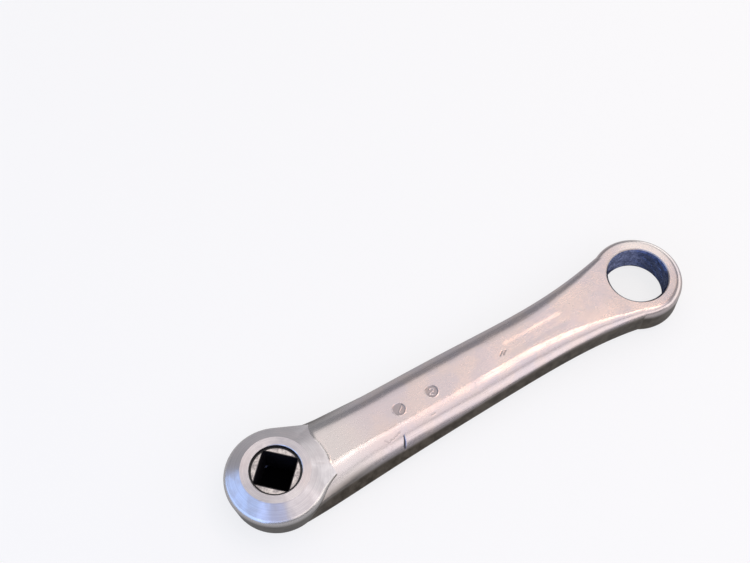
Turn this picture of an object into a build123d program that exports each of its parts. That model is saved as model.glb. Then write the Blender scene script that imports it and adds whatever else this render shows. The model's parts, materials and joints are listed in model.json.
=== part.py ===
from build123d import *
import os
from math import asin, cos, degrees, radians, sin, sqrt, tan

# A forged left-hand bicycle crank arm in one piece of aluminium.
# Origin: the spindle axis where it meets the resting plane, which is the boss's outer face.
# +X runs along the arm to the pedal eye, +Z points to the bicycle side. All sizes are in millimetres.

# Driving dimensions of the whole arm
crank_length = 170.0      # spindle axis to pedal axis
eye_lift = 1.5            # the eye's outer face stands this far inside the boss's outer face
eye_thick = 12.8          # arm thickness at the pedal eye, outer face to inner face
boss_rise = 6.0           # turned spindle boss above the inner face

# Spindle boss, seen from the bicycle side
ring_radius = 13.25       # outer edge of the flat turned ring
cone_angle = 38.4         # slope of the turned cone, from the inner face
wall_radius = 19.7        # widest part of the boss
shoulder_radius = 3.2     # rounding between cone and wall
shoulder_break = 4.0      # small angle by which the rounding breaks from the cone
wall_draft = 9.5          # forging draft of the boss wall
foot_radius = 3.5         # rounding between the boss wall and its outer face

# Square taper socket and the threads' core bores
counterbore_radius = 9.95
counterbore_depth = 1.3
rim_break = 0.25          # small chamfer at the counterbore's rim
socket_across = 12.73     # across the flats at the outer end of the socket
socket_taper = 2.0        # each flat leans this much from the spindle axis
extractor_major = 22.0    # outer diameter of the extractor thread
extractor_pitch = 1.0
extractor_depth = 6.8
extractor_chamfer = 0.8

# Pedal eye
pedal_major = 25.4        # one inch thread
pedal_pitch = 25.4 / 24
eye_land = 6.0            # wall between the thread's major diameter and the outside
eye_round = 3.0           # rounding on the inner face
eye_foot = 0.8            # rounding on the outer face
pedal_chamfer = 1.0

# Arm between the boss and the eye
arm_relief = 0.3          # the arm's outer face stays this far inside the faces of boss and eye
crown = 0.15              # the flanks round over this much above the inner face before it is cut flat
neck_run = 30.0           # spindle axis to the section behind the boss
swell_run = 56.0          # spindle axis to the section in the arm's thick part
waist_back = 58.0         # pedal axis back to the slimmest section
flare_back = 30.0         # pedal axis back to the section where the arm opens
tail_back = 4.0           # pedal axis back to the last section, inside the eye

# Neck web, the concave corner between the boss and each flank
web_fillet = 24.0         # radius of the concave corner, seen from above
web_half = 8.5            # half-width on the -Y side, where the corner runs out into the flank
web_full_half = 13.3      # the same on the +Y side, where the web is fuller
web_trim = 3.6            # end of the corner's arc, in degrees, left to the block's own draft
web_foot = 6.0            # level from which the web rises
web_skirt = 27.0          # radius to which the turned cone may run down the web

# Levels and radii worked out from the driving dimensions
inner_face = eye_lift + eye_thick
boss_top = inner_face + boss_rise
thread_depth_ratio = 1.0825    # cut depth of a 60 degree internal thread, two sides, per pitch
extractor_core = (extractor_major - thread_depth_ratio * extractor_pitch) / 2
pedal_core = (pedal_major - thread_depth_ratio * pedal_pitch) / 2
eye_radius = pedal_major / 2 + eye_land
socket_mouth = boss_top - counterbore_depth
cut_clear = 5.0                # how far a cutting profile reaches past the metal

# The shoulder's arc runs from the drafted wall up to the cone
shoulder_sweep = 90 - cone_angle - shoulder_break
shoulder_axis = wall_radius - shoulder_radius
shoulder_end = shoulder_axis + shoulder_radius * cos(radians(shoulder_sweep))
shoulder_end_level = boss_top - (shoulder_end - ring_radius) * tan(radians(cone_angle))
shoulder_level = shoulder_end_level - shoulder_radius * sin(radians(shoulder_sweep))
wall_foot = wall_radius - shoulder_level * tan(radians(wall_draft))

# How far from the spindle axis the centre of the web's corner lies, so that it touches the boss wall
web_reach = wall_radius - (shoulder_level - web_foot) * tan(radians(wall_draft)) + web_fillet

# Each section: place along X, half-width of its flat top, half-width and depth under the inner face
# of the edge between flank and wall, half-width of the foot and size of its broken corner
middle_run = (swell_run + crank_length - waist_back) / 2
sections = [
    (0, 3.0, 18.8, 4.2, 17.8, 3.5),
    (neck_run, 3.1, 14.5, 5.4, 16.8, 3.5),
    (swell_run, 3.3, 13.9, 5.4, 15.5, 3.5),
    (middle_run, 3.3, 13.4, 4.6, 14.4, 3.0),
    (crank_length - waist_back, 3.2, 12.6, 3.9, 13.6, 2.5),
    (crank_length - flare_back, 6.8, 13.5, 3.0, 14.0, 2.0),
    (crank_length - tail_back, 14.0, 17.4, 1.6, 17.4, 1.0),
]

with BuildPart() as neck_web:
    # A block with a concave corner on each side, which widens with the boss wall. Each corner touches
    # the wall at the web's foot and runs on along the flank.
    for side, half in ((-1, web_half), (1, web_full_half)):
        centre_y = half + web_fillet
        centre_x = sqrt(web_reach ** 2 - centre_y ** 2)
        sweep = 90 - degrees(asin(centre_y / web_reach)) - web_trim
        with BuildSketch(Plane.XY.offset(web_foot)):
            with BuildLine():
                corner = CenterArc((centre_x, side * centre_y), web_fillet, -side * 90, -side * sweep)
                Polyline(corner @ 0, (web_skirt, side * half), (web_skirt, 0), (0, 0), corner @ 1)
            make_face()
        extrude(amount=boss_top - web_foot, taper=-wall_draft)

    # Only what lies under the turned cone stays
    skirt_level = boss_top - (web_skirt - ring_radius) * tan(radians(cone_angle))
    with BuildSketch(Plane.XZ):
        with BuildLine():
            Polyline(
                (0, web_foot),
                (web_skirt, web_foot),
                (web_skirt, skirt_level),
                (ring_radius, boss_top),
                (0, boss_top),
                close=True,
            )
        make_face()
    revolve(axis=Axis.Z, mode=Mode.INTERSECT)

with BuildPart() as crank_arm:
    # The arm is a loft through sections with a flat top, round flanks, steep walls and a foot whose
    # corner is broken by two bevels along an arc
    for run, top_half, edge_half, edge_depth, foot_half, foot_round in sections:
        top = inner_face + crown
        edge = inner_face - edge_depth
        bottom = arm_relief + eye_lift * run / crank_length
        with BuildSketch(Plane.YZ.offset(run)):
            with BuildLine():
                Line((0, top), (top_half, top))
                flank = TangentArc((top_half, top), (edge_half, edge), tangent=(1, 0))
                foot_centre = (foot_half - foot_round, bottom + foot_round)
                foot = CenterArc(foot_centre, foot_round, 0, -90, mode=Mode.PRIVATE)
                Polyline(flank @ 1, foot @ 0, foot @ 0.5, foot @ 1, (0, bottom))
                mirror(about=Plane.YZ)
            make_face()
    loft()
    split(bisect_by=Plane.XY.offset(inner_face), keep=Keep.BOTTOM)
    add(neck_web.part)

    # The pedal eye, a thick ring with a soft inner edge, still without its bore
    with BuildSketch(Plane.XZ):
        with BuildLine():
            FilletPolyline(
                (crank_length, eye_lift),
                (crank_length + eye_radius, eye_lift),
                (crank_length + eye_radius, inner_face),
                (crank_length, inner_face),
                radius=[eye_foot, eye_round],
            )
            Line((crank_length, inner_face), (crank_length, eye_lift))
        make_face()
    revolve(axis=Axis((crank_length, 0, 0), (0, 0, 1)))

    # The spindle boss: rounded foot, drafted wall, rounded shoulder, cone and flat ring
    with BuildSketch(Plane.XZ):
        with BuildLine():
            shoulder = CenterArc(
                (shoulder_axis, shoulder_level), shoulder_radius, -wall_draft, wall_draft + shoulder_sweep
            )
            FilletPolyline((0, 0), (wall_foot, 0), shoulder @ 0, radius=foot_radius)
            Polyline(shoulder @ 1, (ring_radius, boss_top), (0, boss_top), (0, 0))
        make_face()
    revolve(axis=Axis.Z)

    # The three round bores are turned from half profiles: place of the axis, then radius and level
    pedal_bore = [
        (pedal_core + pedal_chamfer + cut_clear, eye_lift - cut_clear),
        (pedal_core, eye_lift + pedal_chamfer),
        (pedal_core, inner_face - pedal_chamfer),
        (pedal_core + pedal_chamfer + cut_clear, inner_face + cut_clear),
    ]
    extractor_bore = [
        (extractor_core + extractor_chamfer + cut_clear, -cut_clear),
        (extractor_core, extractor_chamfer),
        (extractor_core, extractor_depth),
    ]
    counterbore = [
        (counterbore_radius, socket_mouth),
        (counterbore_radius, boss_top - rim_break),
        (counterbore_radius + rim_break + cut_clear, boss_top + cut_clear),
    ]
    for place, profile in ((crank_length, pedal_bore), (0, extractor_bore), (0, counterbore)):
        corners = [(place, profile[0][1])]
        corners += [(place + radius, level) for radius, level in profile]
        corners += [(place, profile[-1][1])]
        with BuildSketch(Plane.XZ):
            with BuildLine():
                Polyline(*corners, close=True)
            make_face()
        revolve(axis=Axis((place, 0, 0), (0, 0, 1)), mode=Mode.SUBTRACT)

    # The square taper socket, its corners on the arm's own line, wider towards the bicycle
    with BuildSketch(Plane.XY.offset(extractor_depth)):
        Rectangle(socket_across, socket_across, rotation=45)
    extrude(amount=socket_mouth - extractor_depth, taper=-socket_taper, mode=Mode.SUBTRACT)

crank_arm.part.label = "crank_arm"
os.makedirs("parts", exist_ok=True)
export_step(crank_arm.part, "parts/crank_arm.step")
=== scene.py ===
# %% [markdown]
# # A worn bicycle crank arm
# This notebook dresses one forged and polished crank arm of aluminium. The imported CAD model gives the
# frame: every size below is in millimetres and is read from it or from the forging's own sections.
# The arm is three forms that run into each other: a bar, a turned boss and a pedal eye. Each one is
# a surface with two parameters, worked out with numpy as whole arrays and then put into a mesh.

import json
from math import radians

import bmesh
import bpy
import numpy as np
from mathutils import Matrix, Vector


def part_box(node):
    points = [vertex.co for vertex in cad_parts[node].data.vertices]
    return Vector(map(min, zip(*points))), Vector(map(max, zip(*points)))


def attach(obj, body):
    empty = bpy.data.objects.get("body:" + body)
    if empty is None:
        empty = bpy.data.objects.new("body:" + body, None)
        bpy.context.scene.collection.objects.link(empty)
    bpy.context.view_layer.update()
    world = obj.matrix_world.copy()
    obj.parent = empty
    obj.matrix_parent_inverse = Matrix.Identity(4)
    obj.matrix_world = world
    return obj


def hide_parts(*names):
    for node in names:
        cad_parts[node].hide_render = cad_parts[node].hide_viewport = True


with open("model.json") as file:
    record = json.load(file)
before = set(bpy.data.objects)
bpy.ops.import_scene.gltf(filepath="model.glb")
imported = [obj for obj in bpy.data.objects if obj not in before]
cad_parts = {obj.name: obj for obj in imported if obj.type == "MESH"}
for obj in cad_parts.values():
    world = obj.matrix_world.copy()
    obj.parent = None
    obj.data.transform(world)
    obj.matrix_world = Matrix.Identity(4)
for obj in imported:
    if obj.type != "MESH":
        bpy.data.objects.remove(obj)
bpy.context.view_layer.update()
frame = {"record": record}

# %% [markdown]
# ## Sizes
# The record that comes with the CAD model states each mount: where the pedal axis is, how wide the
# thread's core is and how long its wall is. Reading them from there keeps the looks and the
# construction together. The sections of the forging are driving sizes of their own.

# %% Sizes from the record
MM = 0.001
mounts = {mount["name"]: mount for mount in frame["record"]["mounts"]}
crank_length = mounts["pedal_thread"]["pos_m"][0] / MM
pedal_core = mounts["pedal_thread"]["dims"]["r_mm"]
extractor_core = mounts["extractor_thread"]["dims"]["r_mm"]
counterbore_radius = mounts["counterbore"]["dims"]["r_mm"]
eye_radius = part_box("crank_arm")[1][0] / MM - crank_length
boss_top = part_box("crank_arm")[1][2] / MM
print("pedal axis at", crank_length, "mm, boss", round(boss_top, 2), "mm high")
print("radius of the eye", round(eye_radius, 2), "mm")

# %% Sizes of the forging
eye_lift = 1.5
boss_rise = 6.0
inner_face = boss_top - boss_rise
arm_relief = 0.3
crown = 0.15
# Stations along the arm, then for each the half-width of the flat top, the half-width and depth of
# the edge between flank and wall, the half-width of the foot and the foot's rounding.
stations = np.array([0.0, 30.0, 56.0, 84.0, 112.0, 140.0, 166.0])
top_halves = np.array([3.0, 3.1, 3.3, 3.3, 3.2, 6.8, 14.0])
edge_halves = np.array([18.8, 14.5, 13.9, 13.4, 12.6, 13.5, 17.4])
edge_depths = np.array([4.2, 5.4, 5.4, 4.6, 3.9, 3.0, 1.6])
foot_halves = np.array([17.8, 16.8, 15.5, 14.4, 13.6, 14.0, 17.4])
foot_rounds = np.array([3.5, 3.5, 3.5, 3.0, 2.5, 2.0, 1.0])
print("inner face at", round(inner_face, 2), "mm,", len(stations), "stations")

# %% [markdown]
# ## Helpers for surfaces
# A grid of points becomes a mesh by one index rule. A direction that closes on itself, such as the
# angle around a bore, joins its last line to its first. A `span` is a straight run between two
# points or curves, and whole profiles are stacked from spans.

# %% Steps and spans
def smooth(low, high, value):
    """Smooth step: 0 below low, 1 above high, and 3t^2 - 2t^3 of the share t between them."""
    share = np.clip((value - low) / (high - low), 0.0, 1.0)
    return share * share * (3.0 - 2.0 * share)


def span(start, end, count):
    """Straight run from start to end in count steps, the end itself left to the next run."""
    share = np.linspace(0.0, 1.0, count, endpoint=False)[:, None]
    return start + (end - start) * share


print("a smooth step is at", smooth(0.0, 1.0, 0.25), "after a quarter")


# %% Index and UV rules of a grid
def grid_quads(rows, columns, close_rows):
    """Quad rule: row i and column j join (i, j), (i, j+1), (i+1, j+1), (i+1, j). Columns close."""
    row = np.arange(rows if close_rows else rows - 1)[:, None]
    column = np.arange(columns)[None, :]
    next_row = (row + 1) % rows
    next_column = (column + 1) % columns
    corners = [
        row * columns + column,
        row * columns + next_column,
        next_row * columns + next_column,
        next_row * columns + column,
    ]
    return np.stack(np.broadcast_arrays(*corners), axis=-1).reshape(-1, 4)


def grid_uv(rows, columns, close_rows):
    """UV rule: u is the share of the way around the columns and v the share of the rows."""
    row = np.arange(rows if close_rows else rows - 1)[:, None]
    column = np.arange(columns)[None, :]
    u_low, v_low = np.broadcast_arrays(column / columns, row / rows)
    u_high, v_high = u_low + 1 / columns, v_low + 1 / rows
    corners = [(u_low, v_low), (u_high, v_low), (u_high, v_high), (u_low, v_high)]
    return np.stack([np.stack(corner, axis=-1) for corner in corners], axis=2).reshape(-1, 2)


print("a grid of 3 rows of 8 has", len(grid_quads(3, 8, close_rows=False)), "quads")


# %% [markdown]
# A piece of the arm is one mesh with several finishes. Modifiers could build such forms as well, but
# a mesh made straight from arrays has exactly the points that the formulas give. Faces meet
# smoothly below the crease angle and sharply above it, as on metal that was polished or cut.

# %% From a grid to a piece
def make_piece(name, points, quads, uv, zones, finishes, crease):
    """Puts points (in mm), quads, UVs and each quad's finish number into a mesh that rides the frame."""
    mesh = bpy.data.meshes.new(name)
    mesh.from_pydata((points.reshape(-1, 3) * MM).tolist(), [], quads.tolist())
    layer = mesh.uv_layers.new(name="around_and_along")
    layer.data.foreach_set("uv", uv.astype(np.float32).ravel())
    for finish in finishes:
        mesh.materials.append(finish)
    mesh.polygons.foreach_set("material_index", zones.astype(np.int32))
    solid = bmesh.new()
    solid.from_mesh(mesh)
    bmesh.ops.recalc_face_normals(solid, faces=solid.faces)
    open_edges = sum(not edge.is_manifold for edge in solid.edges)
    solid.to_mesh(mesh)
    solid.free()
    mesh.shade_smooth()
    mesh.set_sharp_from_angle(angle=radians(crease))
    piece = bpy.data.objects.new(name, mesh)
    bpy.context.scene.collection.objects.link(piece)
    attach(piece, "root")
    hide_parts("crank_arm")
    print(name, "has", len(mesh.polygons), "faces and", open_edges, "open edges")
    return piece


# %% [markdown]
# ## Helpers for materials
# A finish is a node tree, which is easier to read as nested calls than as a list of links.
# `node` adds one node and sets or links its inputs by name. All patterns are laid out in
# millimetres from the object's own coordinates, so that they stay on the metal in every view.

# %% Nodes by name
def node(tree, kind, inputs=None, output=0, **settings):
    """Adds a node, sets its properties, fills its inputs with values or links, and returns an output."""
    made = tree.nodes.new(kind)
    for key, value in settings.items():
        setattr(made, key, value)
    for key, value in (inputs or {}).items():
        if isinstance(value, bpy.types.NodeSocket):
            tree.links.new(value, made.inputs[key])
        else:
            made.inputs[key].default_value = value
    return made.outputs[output]


def place_mm(tree, centre=(0.0, 0.0, 0.0), stretch=(1.0, 1.0, 1.0)):
    """Object coordinates in millimetres from a centre, each axis multiplied by its stretch."""
    scale = [value / MM for value in stretch]
    shift = [-value * factor for value, factor in zip(centre, stretch)]
    where = node(tree, "ShaderNodeTexCoord", output=3)
    return node(tree, "ShaderNodeMapping", {"Vector": where, "Location": shift, "Scale": scale})


def from_axis(tree, centre):
    """Distance in millimetres from an upright axis through centre: the length of (x, y)."""
    across = place_mm(tree, centre, (1.0, 1.0, 0.0))
    return node(tree, "ShaderNodeVectorMath", {0: across}, output=1, operation="LENGTH")


print("object coordinates are multiplied by", round(1 / MM), "to give millimetres")


# %% Patterns and arithmetic
def noise(tree, where, scale, detail=3.0, roughness=0.55):
    """Fractal noise, 0 to 1 around 0.5; scale is in waves per unit of where."""
    inputs = {"Vector": where, "Scale": scale, "Detail": detail, "Roughness": roughness}
    return node(tree, "ShaderNodeTexNoise", inputs)


def between(tree, value, low, high, to_low=0.0, to_high=1.0):
    """Maps value from low..high to to_low..to_high and stops at the ends."""
    inputs = {"Value": value, 1: low, 2: high, 3: to_low, 4: to_high}
    return node(tree, "ShaderNodeMapRange", inputs, interpolation_type="SMOOTHSTEP")


def sums(tree, operation, first, second):
    """One arithmetic step on two numbers."""
    return node(tree, "ShaderNodeMath", {0: first, 1: second}, operation=operation)


def blend_colour(tree, share, first, second):
    """Goes from the first colour to the second as share goes from 0 to 1."""
    inputs = {0: share, 6: first, 7: second}
    return node(tree, "ShaderNodeMix", inputs, output=2, data_type="RGBA")


print("patterns are built from noise, ranges, sums and blends")


# %% Relief and shader
def relief(tree, height, depth_mm, before=None):
    """Bump whose full height is depth_mm, laid over an earlier one if given."""
    inputs = {"Height": height, "Distance": depth_mm * MM, "Strength": 1.0}
    if before is not None:
        inputs["Normal"] = before
    return node(tree, "ShaderNodeBump", inputs)


def new_finish(name):
    """An empty material with its node tree and its metal shader."""
    finish = bpy.data.materials.new(name)
    finish.use_nodes = True
    tree = finish.node_tree
    shader = tree.nodes["Principled BSDF"]
    return finish, tree, shader


def connect(tree, shader, **sockets):
    """Links or sets sockets of the shader; a name's underscores stand for spaces."""
    for key, value in sockets.items():
        socket = shader.inputs[key.replace("_", " ")]
        if isinstance(value, bpy.types.NodeSocket):
            tree.links.new(value, socket)
        else:
            socket.default_value = value


print("material helpers are ready")

# %% [markdown]
# ## Finish of the forging
# The arm was forged, ground and polished by hand, and has been ridden for years. Up close the polish
# is full of fine lines along the arm, soft waves that bend reflections, small dents and dull scuffs.
# A picture of metal would carry one room's reflections with it, so all of this is noise of different
# sizes, and the reflections are the scene's own, but for a painted highlight at the eye's far end. The
# side walls were only cleaned, so they are rougher, and their very dark colour is painted shade. A
# vertex attribute named `wall` says how far a point is down a side wall, and the node tree mixes the
# two looks with it. A second attribute is high on the floors of stamps and cuts and darkens them as
# painted shade, the more the deeper the mark.

# %% Colours and shine of the forging
WARM, COOL, SPECKS = (0.70, 0.62, 0.60, 1), (0.64, 0.59, 0.61, 1), (0.46, 0.42, 0.42, 1)
# The second colour is a painted highlight for the eye's far end.
NEUTRAL, EYE_END_HIGHLIGHT = (0.70, 0.675, 0.66, 1), (0.86, 0.82, 0.79, 1)
# The walls' colours are painted shade, far darker than their plain metal.
SHADED_WALL_DARK, SHADED_WALL_PALE = (0.085, 0.073, 0.058, 1), (0.150, 0.130, 0.105, 1)
# Painted shade for the floors of stamps and cuts.
RECESS_SHADE = (0.09, 0.09, 0.11, 1)
neutral_until, warm_from = 24.0, 46.0  # along the arm, the metal is neutral near the boss
highlight_place, highlight_reach = (182.0, 10.0, 0.0), (5.0, 18.0)  # the eye's far end carries a painted highlight
bright_sheen, dull_sheen, scuffed, plain_extra, recess_rough_extra = 0.22, 0.28, 0.05, 0.14, 0.20
wave_mm, line_mm, dent_mm = 0.45, 0.002, 0.02
print("polish reflects between", COOL[1], "and", EYE_END_HIGHLIGHT[0])


# %% The polished and the plain forged metal
def forged_finish():
    finish, tree, shader = new_finish("polished_forging")
    where = place_mm(tree)
    wall = node(tree, "ShaderNodeAttribute", output=2, attribute_name="wall")
    recess_shade = node(tree, "ShaderNodeAttribute", output=2, attribute_name="recess_shade")
    clouds = noise(tree, where, 0.09, 4.0)
    waves = noise(tree, where, 0.055, 1.0)
    patches = noise(tree, where, 0.32, 5.0, 0.6)
    grain = noise(tree, where, 2.6, 5.0, 0.7)
    lines = noise(tree, place_mm(tree, stretch=(0.06, 2.4, 2.4)), 1.0, 4.0, 0.65)

    polish = blend_colour(tree, between(tree, clouds, 0.38, 0.62), WARM, COOL)
    polish = blend_colour(tree, between(tree, grain, 0.56, 0.78, 0.0, 0.30), polish, SPECKS)
    along_arm = node(tree, "ShaderNodeSeparateXYZ", {0: where})
    polish = blend_colour(tree, between(tree, along_arm, neutral_until, warm_from), NEUTRAL, polish)
    # Painted highlight: the metal turns lighter towards the eye's far end.
    from_end = from_axis(tree, highlight_place)
    polish = blend_colour(tree, between(tree, from_end, *highlight_reach), EYE_END_HIGHLIGHT, polish)
    # Painted shade: the side walls take the very dark colours.
    plain = blend_colour(tree, between(tree, patches, 0.35, 0.65), SHADED_WALL_DARK, SHADED_WALL_PALE)
    colour = blend_colour(tree, wall, polish, plain)
    # Painted shade: the floors of the marks darken.
    colour = blend_colour(tree, recess_shade, colour, RECESS_SHADE)

    sheen = between(tree, lines, 0.35, 0.7, bright_sheen, dull_sheen)
    sheen = sums(tree, "ADD", sheen, between(tree, patches, 0.52, 0.7, 0.0, scuffed))
    sheen = sums(tree, "ADD", sheen, sums(tree, "MULTIPLY", wall, plain_extra))
    sheen = sums(tree, "ADD", sheen, sums(tree, "MULTIPLY", recess_shade, recess_rough_extra))

    bumps = relief(tree, waves, wave_mm)
    bumps = relief(tree, lines, line_mm, bumps)
    bumps = relief(tree, between(tree, grain, 0.60, 0.80), dent_mm, bumps)
    connect(tree, shader, Base_Color=colour, Metallic=1.0, Roughness=sheen, Normal=bumps)
    return finish


polished_forging = forged_finish()
print("made", polished_forging.name)

# %% [markdown]
# ## Finish of turned faces
# The ring, the cone and the bore's chamfers were cut on a lathe. Each turn of the tool leaves a fine
# groove, so such a face throws light in fans across the grooves. Modelled grooves would take millions
# of faces. The shader's anisotropy gives the same fan, with its direction taken from the UV map,
# whose u runs around the axis.

# %% Turned faces
def turned_finish(name, centre, pale, dark, groove_mm):
    finish, tree, shader = new_finish(name)
    radius = from_axis(tree, centre)
    rings = noise(tree, node(tree, "ShaderNodeCombineXYZ", {"X": radius}), 2.2, 4.0, 0.7)
    patches = noise(tree, place_mm(tree), 0.30, 5.0, 0.65)
    nicks = noise(tree, place_mm(tree), 1.3, 5.0, 0.75)
    colour = blend_colour(tree, between(tree, rings, 0.40, 0.62), dark, pale)
    colour = blend_colour(tree, between(tree, patches, 0.50, 0.72, 0.0, 0.5), colour, dark)
    sheen = between(tree, patches, 0.35, 0.65, 0.30, 0.42)
    bumps = relief(tree, rings, groove_mm)
    bumps = relief(tree, between(tree, nicks, 0.62, 0.80), 0.03, bumps)
    around = node(tree, "ShaderNodeTangent", direction_type="UV_MAP", uv_map="around_and_along")
    connect(tree, shader, Base_Color=colour, Metallic=1.0, Roughness=sheen, Normal=bumps)
    connect(tree, shader, Anisotropic=0.75, Anisotropic_Rotation=0.25, Tangent=around)
    return finish


turned_boss = turned_finish("turned_boss", (0, 0, 0), (0.76, 0.74, 0.75, 1), (0.64, 0.62, 0.64, 1), 0.010)
turned_eye = turned_finish(
    "turned_eye", (crank_length, 0, 0), (0.68, 0.62, 0.58, 1), (0.55, 0.50, 0.48, 1), 0.006
)
print("made", turned_boss.name, "and", turned_eye.name)

# %% [markdown]
# The walls inside the bores were cut too, but nobody polishes them, and oil and dirt stay there. Deep in
# the bores little light arrives, so the thread's dark blue is painted shade with a painted blue reflection,
# and the square socket is painted almost black as shade. The ledges at its two ends are rubbed bright. One
# function makes all three finishes, because they differ only in colours, metal share and shine.

# %% Thread and socket walls
def bore_finish(name, pale, dark, metallic, sheen):
    """Oily cut metal: two tones in fine patches, rougher where it is dirty."""
    finish, tree, shader = new_finish(name)
    dirt = noise(tree, place_mm(tree), 0.6, 5.0, 0.7)
    colour = blend_colour(tree, between(tree, dirt, 0.35, 0.65), dark, pale)
    rough = between(tree, dirt, 0.35, 0.65, sheen + 0.15, sheen)
    bumps = relief(tree, dirt, 0.02)
    connect(tree, shader, Base_Color=colour, Metallic=metallic, Roughness=rough, Normal=bumps)
    return finish


# Painted shade and painted blue reflection: the thread's colours are dark navy.
cut_thread = bore_finish("cut_thread", (0.13, 0.16, 0.28, 1), (0.065, 0.08, 0.145, 1), 1.0, 0.22)
# Painted shade: the socket's walls, its seams and the counterbore's wall are nearly black.
shaded_socket = bore_finish("shaded_socket", (0.010, 0.010, 0.014, 1), (0.003, 0.003, 0.004, 1), 0.0, 0.30)
pressed_ledge = bore_finish("pressed_ledge", (0.80, 0.77, 0.74, 1), (0.42, 0.40, 0.40, 1), 1.0, 0.30)
print("made", cut_thread.name + ",", shaded_socket.name, "and", pressed_ledge.name)

# %% [markdown]
# ## The bar
# The bar between boss and eye was pressed in a die, and its section changes all along. A curve with a
# bevel sweeps one section, which would only grow or shrink as a whole. So the bar is a loft through
# seven stations: each section size is a polynomial of the place along the arm, through its seven
# values. One half section runs from the middle of the flat top over the round flank, down the wall,
# round the foot and back under to the middle, and its mirror image makes the other half.

# %% Sizes at any place along the bar
flat_steps, flank_steps, wall_steps, foot_steps, base_steps = 42, 26, 9, 9, 20


def along(values):
    """Polynomial of the place along the arm that passes through one value at each station."""
    return np.polynomial.Polynomial.fit(stations, values, len(stations) - 1)


top_at, edge_at, depth_at = along(top_halves), along(edge_halves), along(edge_depths)
foot_at, round_at = along(foot_halves), along(foot_rounds)
steps = [
    np.linspace(0.0, 1.0, flat_steps, endpoint=False),
    np.linspace(0.0, 0.97, flank_steps),
    np.linspace(0.06, 1.0, wall_steps, endpoint=False),
    np.linspace(0.0, 1.0, foot_steps, endpoint=False),
    np.linspace(0.0, 1.0, base_steps),
]
cuts = np.cumsum([0] + [len(part) for part in steps])
half_count = cuts[-1]
print("half-width of the edge halfway along:", round(edge_at(crank_length / 2), 2), "mm")


# %% Half section of the bar
def half_section(x):
    """Half section at x, an array with a column for each step from the top's middle to the base's middle.

    Flat: straight out at the inner face. Flank: a circle arc that starts level, a little above the
    inner face, and ends at the edge; its radius is (w^2 + d^2) / 2d for a width w and a drop d.
    Wall: straight down to the foot. Foot: a quarter circle. Base: straight back to the middle.
    """
    flat, flank, wall, foot, base = [x[:, low:high] for low, high in zip(cuts[:-1], cuts[1:])]
    y = np.empty_like(x)
    z = np.empty_like(x)

    def arc(x_part, share):
        width = edge_at(x_part) - top_at(x_part)
        drop = depth_at(x_part) + crown
        radius = (width**2 + drop**2) / (2 * drop)
        first = np.arccos(1 - crown / radius)
        last = np.arctan2(width, radius - drop)
        turn = first + (last - first) * share
        return top_at(x_part) + radius * np.sin(turn), inner_face + crown - radius * (1 - np.cos(turn))

    y[:, : cuts[1]] = arc(flat, 0.0)[0] * steps[0]
    z[:, : cuts[1]] = inner_face
    y[:, cuts[1] : cuts[2]], z[:, cuts[1] : cuts[2]] = arc(flank, steps[1])

    under = arm_relief + eye_lift * wall / crank_length
    edge_level = inner_face - depth_at(wall)
    y[:, cuts[2] : cuts[3]] = edge_at(wall) + (foot_at(wall) - edge_at(wall)) * steps[2]
    z[:, cuts[2] : cuts[3]] = edge_level + (under + round_at(wall) - edge_level) * steps[2]

    under = arm_relief + eye_lift * foot / crank_length
    turn = steps[3] * np.pi / 2
    y[:, cuts[3] : cuts[4]] = foot_at(foot) - round_at(foot) * (1 - np.cos(turn))
    z[:, cuts[3] : cuts[4]] = under + round_at(foot) * (1 - np.sin(turn))

    y[:, cuts[4] :] = (foot_at(base) - round_at(base)) * (1 - steps[4])
    z[:, cuts[4] :] = arm_relief + eye_lift * base / crank_length
    return y, z


print("half section has", half_count, "points")

# %% [markdown]
# ## Rows along the bar
# The bar starts inside the boss and ends inside the eye, so that the forms run into each other with
# no gap. Both ends are bent around the bores, where nothing of the bar may show. Rows
# stand close together where a mark is pressed into the metal, and wide apart elsewhere.

# %% Rows and both halves
root_radius, nose_radius, tail_run = 14.5, 14.6, 166.0
eye_round = 3.0
eye_flat, dip, dip_width = eye_radius - eye_round, 0.04, 0.6
# Each window goes from one place to another with a spacing between its rows.
windows = [(14.5, 43, 0.6), (43, 57, 0.16), (57, 65.2, 0.5), (65.2, 71.8, 0.15), (71.8, 99, 0.6)]
windows += [(99, 105, 0.2), (105, crank_length - nose_radius, 0.6)]
runs = [np.linspace(low, high, int((high - low) / step), endpoint=False) for low, high, step in windows]
run = np.append(np.concatenate(runs), crank_length - nose_radius)
share = ((run - run[0]) / (run[-1] - run[0]))[:, None]

x_half = np.repeat(run[:, None], half_count, axis=1)
for _ in range(5):
    y_half, z_half = half_section(x_half)
    root = np.sqrt(np.clip(root_radius**2 - y_half**2, 0, None))
    nose = np.minimum(tail_run, crank_length - np.sqrt(np.clip(nose_radius**2 - y_half**2, 0, None)))
    x_half = root + (nose - root) * share
y_half, z_half = half_section(x_half)

# Under the eye's flat ring the bar's top dips by a hair, so that two faces never share one plane.
from_pedal_axis = np.hypot(x_half - crank_length, y_half)
z_half -= dip * smooth(eye_flat, eye_flat - dip_width, from_pedal_axis) * (z_half > inner_face - 0.5)

bar_x = np.hstack([x_half, x_half[:, -2:0:-1]])
bar_y = np.hstack([y_half, -y_half[:, -2:0:-1]])
bar_z = np.hstack([z_half, z_half[:, -2:0:-1]])
print("bar has", bar_x.shape[0], "rows of", bar_x.shape[1], "points")

# %% [markdown]
# ## Soft joint with the cone
# The turned cone of the boss runs out over the bar's neck, and polishing has softened that joint. A
# bevel needs an edge that both faces share, and these belong to two pieces. A smooth maximum of the
# two levels does without. With d for the cone's lead over the bar, w for the joint's width and h for
# the share 0.5 + d / 2w, kept between 0 and 1, the bar rises by d h + w h (1 - h). The rise fades
# towards both sides of the neck.

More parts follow.
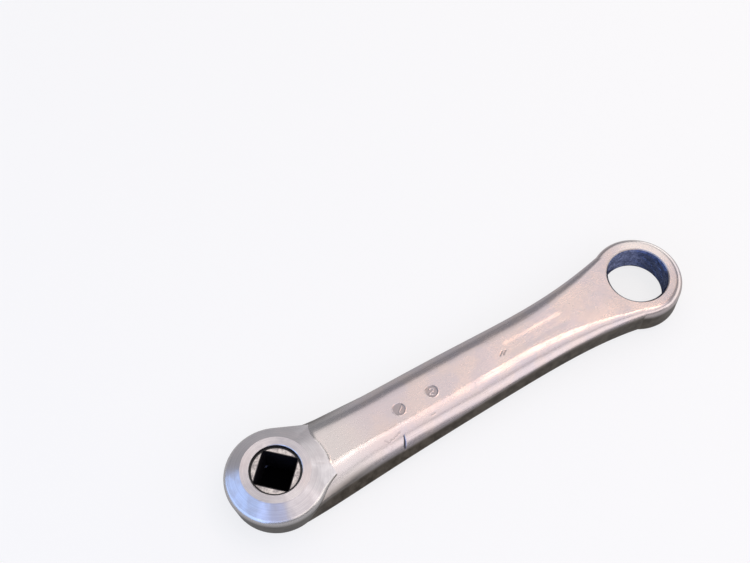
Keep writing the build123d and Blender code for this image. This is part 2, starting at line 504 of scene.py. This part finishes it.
# %% Soft joint
ring_radius, cone_slope = 13.25, np.tan(radians(38.4))
joint, hair, fade_out = 0.8, 0.06, 5.0  # the bar stays a hair under the cone where they run together


def cone_level(radius):
    """Level of the turned cone at a radius."""
    return boss_top - (radius - ring_radius) * cone_slope


rise = cone_level(np.hypot(bar_x, bar_y)) - hair - bar_z
lead = np.clip(0.5 + 0.5 * rise / joint, 0, 1)
reach_out = np.where(bar_y > 0, 12.8, 8.0)  # just inside the web's edge, on the far and near side
near_joint = smooth(reach_out, reach_out - fade_out, np.abs(bar_y))
near_joint = near_joint * (rise < 2 * joint) * (bar_z > inner_face - 5)
lift = (rise * lead + joint * lead * (1 - lead)) * near_joint
bar_z = bar_z + lift
bar_points = np.stack([bar_x, bar_y, bar_z], axis=-1)
print("joint lifts", np.count_nonzero(lift > 0.01), "points of the bar")

# %% [markdown]
# ## Marks in the bar
# Two round stamps with raised figures, a double punch mark, a deep nick and a few scratches are
# pressed into the surface. A bump in the material could show them, but it casts no shadow and is
# flat from the side, so the points themselves are moved. Each mark is a height field over the place
# on the arm: the distance to a circle or to a line of short strokes, passed through a smooth step. A
# shallow dish lies at the place that carried lettering, which is left bare.

# %% Places of the marks
stamp_places = [(53.6, -0.45), (68.5, -0.5)]
stamp_radius, stamp_depth, stroke_half, figure_height, burr_height = 2.45, 0.16, 0.26, 0.15, 0.07
turn_right, turn_up = np.array([0.853, -0.522]), np.array([0.522, 0.853])
hook = np.radians(np.linspace(165, -40, 7))
figure_one = np.array([(0.2, -1.25), (1.1, 1.3)])
figure_two = np.vstack([
    np.stack([0.8 * np.cos(hook), 0.55 + 0.8 * np.sin(hook)], axis=-1),
    [(-0.8, -1.25), (0.95, -1.3)],
])
punch_strokes = [np.array([(100.2, -1.6), (102.0, -0.4)]), np.array([(101.7, -1.9), (103.4, -0.7)])]
punch_depth, nick_depth, scratch_depth = 0.14, 0.32, 0.12
nick_line = np.array([(49.8, -10.2), (49.3, -11.9), (48.3, -13.6)])
scratch_lines = [
    np.array([(42.3, -8.7), (43.3, -9.8), (45.8, -9.4), (49.4, -8.5)]),
    np.array([(62.9, -8.6), (65.2, -8.9)]),
]
dish_middle, dish_half, dish_depth, dish_edge = (118.0, -0.5), (12.5, 1.5), 0.10, 2.4
print("marks: 2 stamps, 2 punch strokes, 1 nick,", len(scratch_lines), "scratches and a dish")


# %% Height field of the marks
def to_line(x, y, line):
    """Distance from each (x, y) to the nearest point of a line of straight strokes."""
    best = np.full(x.shape, np.inf)
    for start, end in zip(line[:-1], line[1:]):
        way = end - start
        share = np.clip(((x - start[0]) * way[0] + (y - start[1]) * way[1]) / (way @ way), 0, 1)
        best = np.minimum(best, np.hypot(x - start[0] - share * way[0], y - start[1] - share * way[1]))
    return best


def mark_height(x, y):
    """Height over the plain surface, in mm: sunk discs with a burred rim and raised figures, cuts, a dish.

    Each one is its depth times (1 - smooth step of the distance to its line or outline). The burr is
    a bell curve of the distance to the disc's rim.
    """
    height = np.zeros(x.shape)
    for place, figure in zip(stamp_places, (figure_one, figure_two)):
        across, up = x - place[0], y - place[1]
        radius = np.hypot(across, up)
        line = place + figure[:, :1] * turn_right + figure[:, 1:] * turn_up
        sunk = 1 - smooth(stamp_radius - 0.18, stamp_radius + 0.12, radius)
        figure_up = 1 - smooth(stroke_half - 0.12, stroke_half + 0.14, to_line(x, y, line))
        burr = np.exp(-(((radius - stamp_radius - 0.28) / 0.16) ** 2))
        height += burr_height * burr - sunk * (stamp_depth - figure_height * figure_up)
    for line in punch_strokes:
        height -= punch_depth * (1 - smooth(0.12, 0.42, to_line(x, y, line)))
    nick_half = 0.35 + 0.11 * np.clip(nick_line[0, 1] - y, 0, 3.4)  # the nick widens down the flank
    height -= nick_depth * (1 - smooth(0.06, nick_half, to_line(x, y, nick_line)))
    for line in scratch_lines:
        height -= scratch_depth * (1 - smooth(0.05, 0.30, to_line(x, y, line)))
    beside_x = np.maximum(np.abs(x - dish_middle[0]) - dish_half[0], 0)
    beside_y = np.maximum(np.abs(y - dish_middle[1]) - dish_half[1], 0)
    height -= dish_depth * (1 - smooth(0.0, dish_edge, np.hypot(beside_x, beside_y)))
    return height


beside_figure = stamp_places[0] - 1.2 * turn_right
print("floor of the first stamp at", round(mark_height(*beside_figure[:, None])[0], 3), "mm")


# %% The marks pressed into the bar
def grid_normals(points):
    """Unit normals of a grid: the cross product of the steps along its rows and its columns."""
    down = np.gradient(points, axis=0)
    across = np.roll(points, -1, axis=1) - np.roll(points, 1, axis=1)
    normals = np.cross(across, down)
    return normals / np.linalg.norm(normals, axis=-1, keepdims=True)


upper = bar_z > inner_face - 5.5  # marks lie on the top and the flanks only
marks = mark_height(bar_x, bar_y) * upper
bar_normals = grid_normals(bar_points)
# Outward normals look up in the middle of the top.
if bar_normals[len(run) // 2, 0, 2] < 0:
    bar_normals = -bar_normals
bar_points = bar_points + bar_normals * marks[..., None]
print("deepest mark", round(marks.min(), 3), "mm")

# %% The bar's mesh
def end_caps(rows, half):
    """Closes both ends: step k from the top's middle is joined to step k from the base's middle."""
    ring = 2 * half - 2
    k = np.arange(half // 2 - 1)
    right = np.stack([k, k + 1, half - 2 - k, half - 1 - k], axis=-1)
    left = (ring - right) % ring
    first = np.vstack([right, left])
    return np.vstack([first, first + (rows - 1) * ring])


rows, ring = bar_points.shape[:2]
sides = grid_quads(rows, ring, close_rows=False)
caps = end_caps(rows, half_count)
bar_uv = np.vstack([grid_uv(rows, ring, close_rows=False), np.zeros((len(caps) * 4, 2))])
bar_quads = np.vstack([sides, caps])
bar = make_piece("bar", bar_points, bar_quads, bar_uv, np.zeros(len(bar_quads)), [polished_forging], 22)

# %% [markdown]
# The material needs to know where the bar is polished and where it isn't. Down the wall the finish
# goes from polished to plain over a short soft step at the edge, and takes the wall's painted shade; the
# web's hollow corners get painted shade too. The deeper a mark, the darker its painted shade: stamps
# and scratches are half dark, and only the deep nick is fully dark.

# %% Painted attributes
step_number = np.concatenate([np.arange(half_count), np.arange(half_count - 2, 0, -1)])
on_wall = smooth(cuts[2] - 3.0, cuts[2] + 1.5, step_number)
on_base = smooth(cuts[4], cuts[4] + 1, step_number)
wall_share = on_wall * (1 - on_base)
neck_shade = smooth(44.0, 22.0, bar_x) * smooth(13.0, 9.0, bar_z)  # painted shade in the web's hollow corners
wall_values = np.maximum(wall_share[None, :], 0.8 * neck_shade)


def paint(piece, name, values):
    """Stores one number for each vertex, for the material to read."""
    layer = piece.data.attributes.new(name, "FLOAT", "POINT")
    layer.data.foreach_set("value", values.astype(np.float32).ravel())


paint(bar, "wall", wall_values)
# Painted shade: the deeper a mark, the darker its floor.
recess_shade_values = 0.45 * smooth(0.04, 0.11, -marks) + 0.55 * smooth(0.165, 0.21, -marks)
marks_end = 104.5  # beyond it only the bright dish follows
paint(bar, "recess_shade", recess_shade_values * (bar_x < marks_end))
print("bar is plain at", np.count_nonzero(wall_values > 0.5), "points")

# %% [markdown]
# ## The boss
# The boss was forged with the arm and then turned from the bicycle's side: a flat ring, a shallow
# counterbore and a cone that runs out over the neck. A Screw modifier makes such lathe work from one
# profile, but two things keep the boss from being a plain turned form. Towards the bar its outline
# swells into a web with hollow corners, and the socket in the middle is square. So the surface has an
# angle around the spindle axis and a step along a closed profile, and each radius may depend on both.

# %% Angles around the spindle and the web's corners
wall_radius, wall_level, wall_lean = 19.7, 13.65, np.tan(radians(9.5))
web_foot, web_fillet, web_skirt = 6.0, 24.0, 27.0
web_half, web_full_half = 8.5, 13.3

# One line a degree, and a few more close to each corner of the square socket.
square_corners = np.arange(4) * 90.0
near_corner = np.array([0.25, 0.55, 0.85, 1.3])
extra = (square_corners[:, None] + np.concatenate([-near_corner, near_corner])).ravel() % 360
angle = np.radians(np.unique(np.concatenate([np.arange(360.0), extra])))
side = np.abs((angle + np.pi) % (2 * np.pi) - np.pi)

# The web is fuller on the far side, so its two hollow corners differ: each touches the wall's foot.
web_distance = wall_radius - (wall_level - web_foot) * wall_lean + web_fillet
web_centre_y = np.where(angle < np.pi, web_full_half, web_half) + web_fillet
web_centre_x = np.sqrt(web_distance**2 - web_centre_y**2)
touch_angle = np.arctan2(web_centre_y, web_centre_x)
print("the web leaves the wall at", np.unique(np.degrees(touch_angle).round(1)), "degrees")


# %% Outline of the boss
def wall_out(z):
    """Radius of the boss's wall at each angle and level z.

    Away from the bar it is a cone, wider by the draft for each millimetre up. Near the bar it is the
    distance to a hollow corner: along a ray at angle a, c cos(a - b) - sqrt(r^2 - c^2 sin^2(a - b)),
    where the corner's axis stands at distance c and angle b and r is the corner's radius at that level.
    Beyond the corner it is the distance to a line beside the bar, that line's offset over sin(a), and
    nowhere is it more than the skirt's radius. The web begins over the 2 mm around its foot.
    """
    plain = wall_radius + (z - wall_level) * wall_lean
    hollow = web_fillet - (z - web_foot) * wall_lean
    front_angle = np.arctan2(web_centre_y - hollow, web_centre_x)
    away = touch_angle - np.clip(side, front_angle, touch_angle)
    reach = web_distance * np.cos(away) - np.sqrt(
        np.clip(hollow**2 - (web_distance * np.sin(away)) ** 2, 0, None)
    )
    front = (web_centre_y - hollow) / np.sin(np.clip(side, 0.05, front_angle))
    web = np.minimum(np.where(side < front_angle, front, reach), web_skirt)
    web = np.where(side < touch_angle, web, plain)
    return plain + (web - plain) * smooth(web_foot - 1.0, web_foot + 1.0, z)


print("wall reaches", round(wall_out(web_foot + 2.0).max(), 2), "mm out along the bar")

# %% Where wall and cone meet
# Going back and forth between the two a few times finds the level. The rounding gets smaller in
# the web.
meet = np.full(angle.shape, wall_level)
for _ in range(25):
    meet = cone_level(wall_out(meet))
meet_radius = wall_out(meet)
in_web = smooth(touch_angle + 0.12, touch_angle - 0.35, side)
plain_run, web_run = 1.95, 0.70
corner_run = plain_run - (plain_run - web_run) * in_web
print("cone meets wall between", round(meet.min(), 2), "and", round(meet.max(), 2), "mm")

# %% [markdown]
# ## Thread and square socket
# A thread could be a bump, but then it would end in a clean circle at the bore's mouth. As a wave of
# the wall itself its turns run out as on cut metal. The wave's phase grows by one for each pitch along
# the axis and by one for each turn around it, with the sign of that turn giving the hand. The socket's
# wall is a square with slightly rounded corners, given as a radius at each angle, and it narrows
# towards the outside.

# %% Thread and square as radii
def thread_radius(core, depth, pitch, hand, z, low, high, around):
    """Core radius plus a groove that fades at both ends of the wall.

    The groove is a triangle wave of z / pitch - hand * turns, with its tips cut flat.
    """
    phase = (z / pitch - hand * around / (2 * np.pi)) % 1.0
    groove = np.clip((1 - np.abs(2 * phase - 1) - 0.15) / 0.75, 0, 1)
    fade = smooth(low, low + 0.5 * pitch, z) * (1 - smooth(high - 0.5 * pitch, high, z))
    return core + depth * groove * fade


def square_radius(half_across, rounding):
    """Radius of a square whose corners are at 0, 90, 180 and 270 degrees, its corners rounded.

    Along a flat it is h / cos(a) from the flat's middle. Near a corner it is the far side of a
    circle with that rounding, which touches both flats.
    """
    from_corner = (angle + np.pi / 4) % (np.pi / 2) - np.pi / 4
    flat = half_across / np.cos(np.pi / 4 - np.abs(from_corner))
    centre = (half_across - rounding) * np.sqrt(2)
    off = centre * np.sin(from_corner)
    round_part = centre * np.cos(from_corner) + np.sqrt(np.clip(rounding**2 - off**2, 0, None))
    turn_in = np.pi / 4 - np.arctan((half_across - rounding) / half_across)
    return np.where(np.abs(from_corner) < turn_in, round_part, flat)


print("a square 12 mm across reaches", round(square_radius(6.0, 0.45).max(), 2), "mm at its corners")

# %% [markdown]
# ## Profile of the boss
# The profile starts at the rim of the counterbore and goes once around the metal: out over ring and
# cone, down the wall, in under the foot, up the threaded bore, through the square socket and back to
# the rim. Each stretch has a radius and a level at every angle, so round and square parts mix freely.

# %% Sizes and helpers of the profile
counterbore_level, rim_break = boss_top - 1.3, 0.25
extractor_depth, extractor_chamfer, extractor_pitch = 6.8, 0.8, 1.0
groove_depth = 22.0 / 2 - extractor_core
socket_half, socket_lean, socket_corner = 12.73 / 2, np.tan(radians(2.0)), 0.45
foot_radius = 3.5
plain_foot = wall_radius - wall_level * wall_lean
foot_axis = plain_foot + foot_radius * wall_lean - foot_radius / np.cos(np.arctan(wall_lean))


def full(value):
    """The same number at every angle."""
    return np.full(angle.shape, float(value))


def curve(start, corner, end, count):
    """Soft corner: start (1-t)^2 + 2 corner t (1-t) + end t^2 for the share t, end left out."""
    share = np.linspace(0, 1, count, endpoint=False)[:, None]
    return start * (1 - share) ** 2 + 2 * corner * share * (1 - share) + end * share**2


profile = []


def stretch(radii, levels, zone):
    """Adds rows of the profile, a radius and a level at each angle, with their finish number."""
    radii, levels = np.broadcast_arrays(radii, levels)
    profile.append((radii, levels, np.full(len(radii), zone)))


FORGED, TURNED, THREAD, SOCKET, LEDGE = range(5)
print("foot of the wall is", round(plain_foot, 2), "mm from the spindle axis")

# %% Ring, cone and wall
rim_radius = counterbore_radius + rim_break
cone_end = meet_radius - corner_run * np.cos(np.arctan(cone_slope))
wall_top = meet - corner_run * np.cos(np.arctan(wall_lean))
stretch(span(full(rim_radius), full(ring_radius), 8), full(boss_top), TURNED)
cone_radii = span(full(ring_radius), cone_end, 18)
stretch(cone_radii, cone_level(cone_radii), TURNED)
stretch(
    curve(cone_end, meet_radius, wall_out(wall_top), 12),
    curve(cone_level(cone_end), meet, wall_top, 12),
    FORGED,
)
foot_start = foot_radius - foot_radius * np.sin(np.arctan(wall_lean))
wall_levels = span(wall_top, full(foot_start), 40)
stretch(np.stack([wall_out(level) for level in wall_levels]), wall_levels, FORGED)
print("profile has", sum(len(part[0]) for part in profile), "rows down to the foot")

# %% Foot, outer face and extractor bore
turns = span(full(np.arctan(wall_lean)), full(np.pi / 2), 9)
stretch(foot_axis + foot_radius * np.cos(turns), foot_radius * (1 - np.sin(turns)), FORGED)
stretch(span(full(foot_axis), full(extractor_core + extractor_chamfer), 5), full(0), TURNED)
stretch(
    span(full(extractor_core + extractor_chamfer), full(extractor_core), 3),
    span(full(0), full(extractor_chamfer), 3),
    TURNED,
)
thread_levels = span(full(extractor_chamfer), full(extractor_depth), 66)
ends = extractor_chamfer, extractor_depth
extractor_wall = thread_radius(
    extractor_core, groove_depth, extractor_pitch, 1, thread_levels, *ends, angle
)
stretch(extractor_wall, thread_levels, THREAD)
stretch(
    span(full(extractor_core), square_radius(socket_half, socket_corner), 6), full(extractor_depth), LEDGE
)
print("profile has", sum(len(part[0]) for part in profile), "rows up to the socket")

# %% Square socket and counterbore
socket_levels = span(full(extractor_depth), full(counterbore_level), 14)
socket_halves = socket_half + (socket_levels - extractor_depth) * socket_lean
stretch(np.stack([square_radius(half[0], socket_corner) for half in socket_halves]), socket_levels, SOCKET)
mouth_half = socket_half + (counterbore_level - extractor_depth) * socket_lean
# The bright ledge lies between two dark seams of painted shade, one at the socket's mouth and one at the
# wall.
inner_seam, outer_seam = 0.35, 0.9
ledge_start = square_radius(mouth_half, socket_corner)
ledge_end = np.maximum(ledge_start, counterbore_radius - outer_seam)
ledge_inner = np.minimum(ledge_start + inner_seam, ledge_end)
stretch(span(ledge_start, ledge_inner, 2), full(counterbore_level), SOCKET)
stretch(span(ledge_inner, ledge_end, 6), full(counterbore_level), LEDGE)
stretch(span(ledge_end, full(counterbore_radius), 2), full(counterbore_level), SOCKET)
stretch(
    full(counterbore_radius), span(full(counterbore_level), full(boss_top - rim_break), 3), SOCKET
)
stretch(
    span(full(counterbore_radius), full(rim_radius), 2),
    span(full(boss_top - rim_break), full(boss_top), 2),
    TURNED,
)
print("profile has", sum(len(part[0]) for part in profile), "rows in all")

# %% [markdown]
# Every row of the profile is now a radius and a level at each angle. Turning them about an axis
# gives the points, and the surface closes in both directions, like a ring.

# %% The boss's mesh
def turn_profile(rows, around, centre_x):
    """Point at radius r, level z and angle a about the axis at centre_x: (centre + r cos a, r sin a, z)."""
    radii = np.vstack([part[0] for part in rows])
    levels = np.vstack([part[1] for part in rows])
    zones = np.concatenate([part[2] for part in rows])
    points = np.stack([centre_x + radii * np.cos(around), radii * np.sin(around), levels], axis=-1)
    return points, np.repeat(zones, len(around))


def wall_mask(points, zones, low, high, columns):
    """1 on forged rows below a level, where the metal is plain and painted dark as shade, and 0 on cut
    faces.
    """
    forged = (zones.reshape(-1, columns) == FORGED).astype(float)
    return forged * (1 - smooth(low, high, points[..., 2]))


boss_points, boss_zones = turn_profile(profile, angle, 0.0)
boss_rows, boss_columns = boss_points.shape[:2]
boss = make_piece(
    "boss",
    boss_points,
    grid_quads(boss_rows, boss_columns, close_rows=True),
    grid_uv(boss_rows, boss_columns, close_rows=True),
    boss_zones,
    [polished_forging, turned_boss, cut_thread, shaded_socket, pressed_ledge],
    24,
)
paint(boss, "wall", wall_mask(boss_points, boss_zones, 12.0, 15.5, boss_columns))

# %% [markdown]
# ## The pedal eye
# The eye is a thick ring with a soft inner edge and a threaded bore. It could be two cylinders and a
# boolean, but the same helpers that turned the boss give its roundings and its thread in one surface.
# The left-hand crank of a bicycle has a left-hand thread here, so that pedalling doesn't undo the
# pedal, and its helix turns the other way from that in the boss.

# %% Outside of the eye
eye_foot, pedal_chamfer = 0.8, 1.0
pedal_pitch, pedal_depth = 25.4 / 24, 25.4 / 2 - pedal_core
eye_angle = np.radians(np.arange(0.0, 360.0, 0.9))
profile = []


def even(value):
    """The same number at every angle around the pedal axis."""
    return np.full(eye_angle.shape, float(value))


mouth = pedal_core + pedal_chamfer
stretch(span(even(mouth), even(eye_flat), 6), even(inner_face), FORGED)
turns = span(even(np.pi / 2), even(0), 14)
stretch(eye_flat + eye_round * np.cos(turns), inner_face - eye_round * (1 - np.sin(turns)), FORGED)
stretch(even(eye_radius), span(even(inner_face - eye_round), even(eye_lift + eye_foot), 12), FORGED)
turns = span(even(0), even(np.pi / 2), 6)
stretch(eye_radius - eye_foot * (1 - np.cos(turns)), eye_lift + eye_foot * (1 - np.sin(turns)), FORGED)
stretch(span(even(eye_radius - eye_foot), even(mouth), 5), even(eye_lift), FORGED)
stretch(
    span(even(mouth), even(pedal_core), 3), span(even(eye_lift), even(eye_lift + pedal_chamfer), 3), TURNED
)
print("profile has", sum(len(part[0]) for part in profile), "rows up to the thread")

# %% Thread of the eye
ends = eye_lift + pedal_chamfer, inner_face - pedal_chamfer
levels = span(even(ends[0]), even(ends[1]), 104)
stretch(thread_radius(pedal_core, pedal_depth, pedal_pitch, -1, levels, *ends, eye_angle), levels, THREAD)
# The lower part of the upper chamfer carries the thread's painted shade, the upper part is bare.
dark_share = 0.6
part_radius = pedal_core + dark_share * pedal_chamfer
part_level = inner_face - (1 - dark_share) * pedal_chamfer
stretch(
    span(even(pedal_core), even(part_radius), 3),
    span(even(inner_face - pedal_chamfer), even(part_level), 3),
    THREAD,
)
stretch(span(even(part_radius), even(mouth), 2), span(even(part_level), even(inner_face), 2), TURNED)
print("thread turns", round((ends[1] - ends[0]) / pedal_pitch, 1), "times")

# %% The eye's mesh
eye_points, eye_zones = turn_profile(profile, eye_angle, crank_length)
eye_rows, eye_columns = eye_points.shape[:2]
eye = make_piece(
    "pedal_eye",
    eye_points,
    grid_quads(eye_rows, eye_columns, close_rows=True),
    grid_uv(eye_rows, eye_columns, close_rows=True),
    eye_zones,
    [polished_forging, turned_eye, cut_thread],
    24,
)
paint(eye, "wall", wall_mask(eye_points, eye_zones, 9.5, 12.5, eye_columns))

# %% [markdown]
# ## Floor, light and camera
# The arm lies on a plain pale floor. The camera sees it as an almost white surface, which still takes
# the arm's soft shadow, and reflections show it darker. Only under the spindle socket it is painted
# dark, as shade where no light gets in. The Light Path node tells the rays apart, so the pale ground
# costs no light.

# %% Floor
floor_half = 3.0  # in metres
floor_mesh = bpy.data.meshes.new("floor")
floor_corners = [(-floor_half, -floor_half, 0), (floor_half, -floor_half, 0)]
floor_corners += [(floor_half, floor_half, 0), (-floor_half, floor_half, 0)]
floor_mesh.from_pydata(floor_corners, [], [(0, 1, 2, 3)])
floor = bpy.data.objects.new("floor", floor_mesh)
bpy.context.scene.collection.objects.link(floor)
print("floor is", 2 * floor_half, "m wide")

# %% Light of the floor
dark_under, pale_from = 11.0, 13.0  # mm from the spindle axis, around the extractor bore's mouth
shown_in_metal, glow_strength, floor_grey = 0.43, 0.80, 0.22
paper = bpy.data.materials.new("pale_floor")
paper.use_nodes = True
tree = paper.node_tree
seen = node(tree, "ShaderNodeLightPath", output=0)
glossy = node(tree, "ShaderNodeLightPath", output=3)
through = node(tree, "ShaderNodeLightPath", output=6)
in_metal = sums(tree, "MULTIPLY", glossy, shown_in_metal)
shown = sums(tree, "MAXIMUM", sums(tree, "MAXIMUM", seen, through), in_metal)
# Painted shade: the floor turns dark under the socket's mouth.
open_air = between(tree, from_axis(tree, (0.0, 0.0, 0.0)), dark_under, pale_from)
grey = blend_colour(tree, open_air, (0.004, 0.004, 0.005, 1), (floor_grey, floor_grey, floor_grey, 1))
matte = node(tree, "ShaderNodeBsdfDiffuse", {"Color": grey})
strength = sums(tree, "MULTIPLY", sums(tree, "MULTIPLY", shown, open_air), glow_strength)
glow = node(tree, "ShaderNodeEmission", {"Color": (0.96, 0.96, 0.97, 1), "Strength": strength})
floor_shader = node(tree, "ShaderNodeAddShader", {0: matte, 1: glow})
tree.links.new(floor_shader, tree.nodes["Material Output"].inputs["Surface"])
floor_mesh.materials.append(paper)
print("floor glows for the camera with a strength of", glow_strength)

# %% World
sky_strength = 0.38  # for all rays but the camera's, which see it at full strength
world = bpy.data.worlds.new("studio")
bpy.context.scene.world = world
world.use_nodes = True
sky = world.node_tree
seen_sky = node(sky, "ShaderNodeLightPath", output=0)
air = sky.nodes["Background"]
connect(
    sky,
    air,
    Color=blend_colour(sky, seen_sky, (0.80, 0.80, 0.86, 1), (0.93, 0.93, 0.94, 1)),
    Strength=sums(sky, "MAXIMUM", seen_sky, sky_strength),
)
print("sky gives light with a strength of", sky_strength)

# %% [markdown]
# Polished metal shows its surroundings more than its own colour, so soft lamps stand all around:
# broad ones overhead and on the near side, two narrow strips between them that draw bright lines
# along the arm, blue ones on the left and in front, and a pale one on the right. Each is a rectangle
# that is turned towards the arm.

# %% Lamps
def soft_lamp(name, place, aim, width, height, power, colour):
    """A rectangular lamp at a place in millimetres, turned towards a point."""
    lamp = bpy.data.lights.new(name, "AREA")
    lamp.shape = "RECTANGLE"
    lamp.size, lamp.size_y = width * MM, height * MM
    lamp.energy = power
    lamp.color = colour
    holder = bpy.data.objects.new(name, lamp)
    bpy.context.scene.collection.objects.link(holder)
    holder.location = Vector(place) * MM
    holder.rotation_euler = (Vector(aim) - Vector(place)).to_track_quat("-Z", "Y").to_euler()
    return holder


middle = (85.0, 0.0, 8.0)
soft_lamp("overhead", (305, 420, 665), middle, 780, 700, 1.22, (1.0, 0.90, 0.87))
soft_lamp("neck_strip", (125, 15, 760), middle, 300, 60, 0.20, (1.0, 0.92, 0.84))
soft_lamp("flank_strip", (430, -10, 760), middle, 440, 50, 0.42, (1.0, 0.60, 0.40))
soft_lamp("near_panel", (220, -270, 700), middle, 760, 480, 1.0, (1.0, 0.90, 0.92))
soft_lamp("near_side", (260, -600, 400), middle, 760, 300, 0.80, (1.0, 0.91, 0.90))
soft_lamp("cool_left", (-600, 50, 230), (0, 0, 15), 1400, 440, 2.8, (0.33, 0.53, 1.0))
soft_lamp("cool_front", (-400, -500, 430), (0, 0, 15), 640, 420, 0.74, (0.45, 0.56, 1.0))
soft_lamp("warm_right", (760, -110, 190), (0, 0, 15), 1500, 380, 1.9, (1.0, 0.95, 0.93))
print("lamps:", ", ".join(lamp.name for lamp in bpy.data.lights))

# %% [markdown]
# The camera stands where the photographer's did, found from the arm's edges and circles in the
# picture. The focal length in pixels becomes a lens by the width of picture and sensor.

# %% Camera
camera_place = Vector((-71.2, -174.8, 448.2))
aim_point = Vector((76.2, 53.4, 14.3))
camera_roll = radians(1.29)
image_width_px, focal_px, sensor_width = 750, 1255.4, 36.0

camera = bpy.data.cameras.new("camera")
camera.sensor_width = sensor_width
camera.lens = focal_px / image_width_px * sensor_width
camera.clip_start, camera.clip_end = 0.01, 20.0
viewer = bpy.data.objects.new("camera", camera)
bpy.context.scene.collection.objects.link(viewer)
facing = (aim_point - camera_place).to_track_quat("-Z", "Y").to_matrix().to_4x4()
viewer.matrix_world = Matrix.Translation(camera_place * MM) @ facing @ Matrix.Rotation(camera_roll, 4, "Z")
bpy.context.scene.camera = viewer
bpy.context.scene.view_settings.view_transform = "Standard"
print("camera with a lens of", round(camera.lens, 1), "mm")
